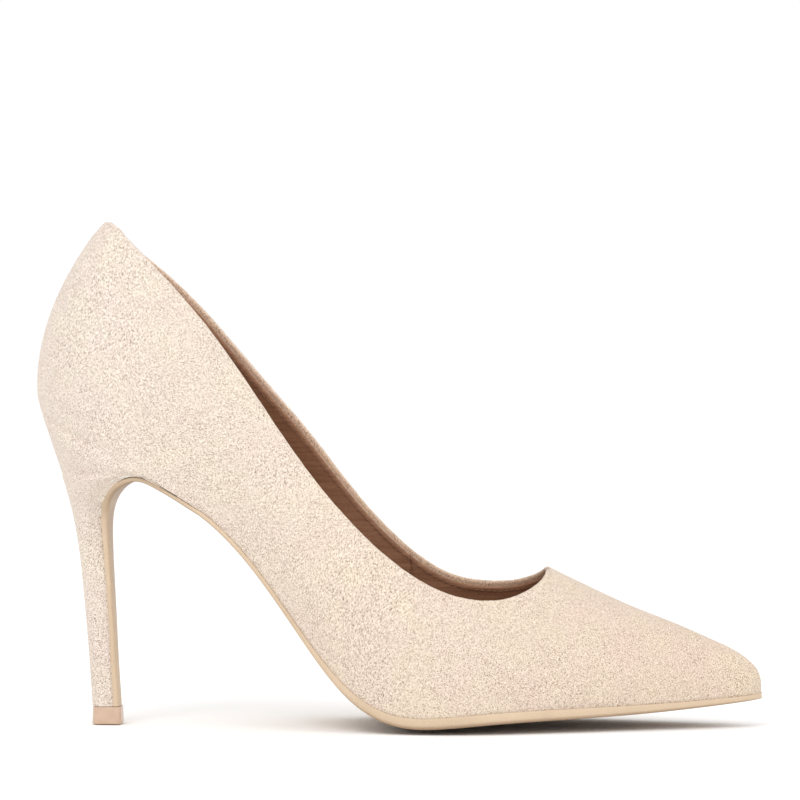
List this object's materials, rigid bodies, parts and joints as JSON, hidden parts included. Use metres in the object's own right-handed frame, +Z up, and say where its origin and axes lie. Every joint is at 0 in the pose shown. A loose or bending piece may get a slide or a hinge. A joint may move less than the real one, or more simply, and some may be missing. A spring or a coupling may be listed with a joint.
{
  "type": "high heel pump",
  "caption": "Pointed-toe court shoe with a slim stiletto heel, plain suede upper, low-cut topline, leather lining and thin leather sole; right foot.",
  "frame": {"origin": "on the ground, under the middle of the shoe's bounding box in X and Y", "axes": "+X towards the toe tip, +Z up, -Y towards the outer (lateral) side of the right foot"},
  "size_m": [0.2323, 0.0724, 0.1613],
  "materials": {
    "suede": "soft suede nap",
    "backing_fabric": "woven",
    "stiffener": "matte",
    "thread": "twisted thread",
    "lining_leather": "smooth, low gloss",
    "grip_suede": "suede",
    "foam": "open foam",
    "fibre_board": "pressed fibre board",
    "steel": "satin",
    "cork": "ground cork",
    "sole_leather": "waxed, satin",
    "heel_plastic": "moulded",
    "top_piece_plastic": "glossy"
  },
  "bodies": {
    "root": {"upper": "suede", "upper_backing": "backing_fabric", "toe_puff": "stiffener", "heel_counter": "stiffener", "topline_tape": "backing_fabric", "topline_thread": "thread", "vamp_lining": "lining_leather", "quarter_lining_lateral": "lining_leather", "quarter_lining_medial": "lining_leather", "heel_grip": "grip_suede", "insock": "lining_leather", "insock_foam": "foam", "insole_board": "fibre_board", "shank_board": "fibre_board", "steel_shank": "steel", "shank_rivets": "steel", "bottom_filler": "cork", "outsole": "sole_leather", "heel_core": "heel_plastic", "heel_cover": "suede", "heel_tube": "steel", "heel_screw": "steel", "heel_nails": "steel", "top_piece": "top_piece_plastic", "top_piece_pin": "steel"}
  },
  "joints": []
}
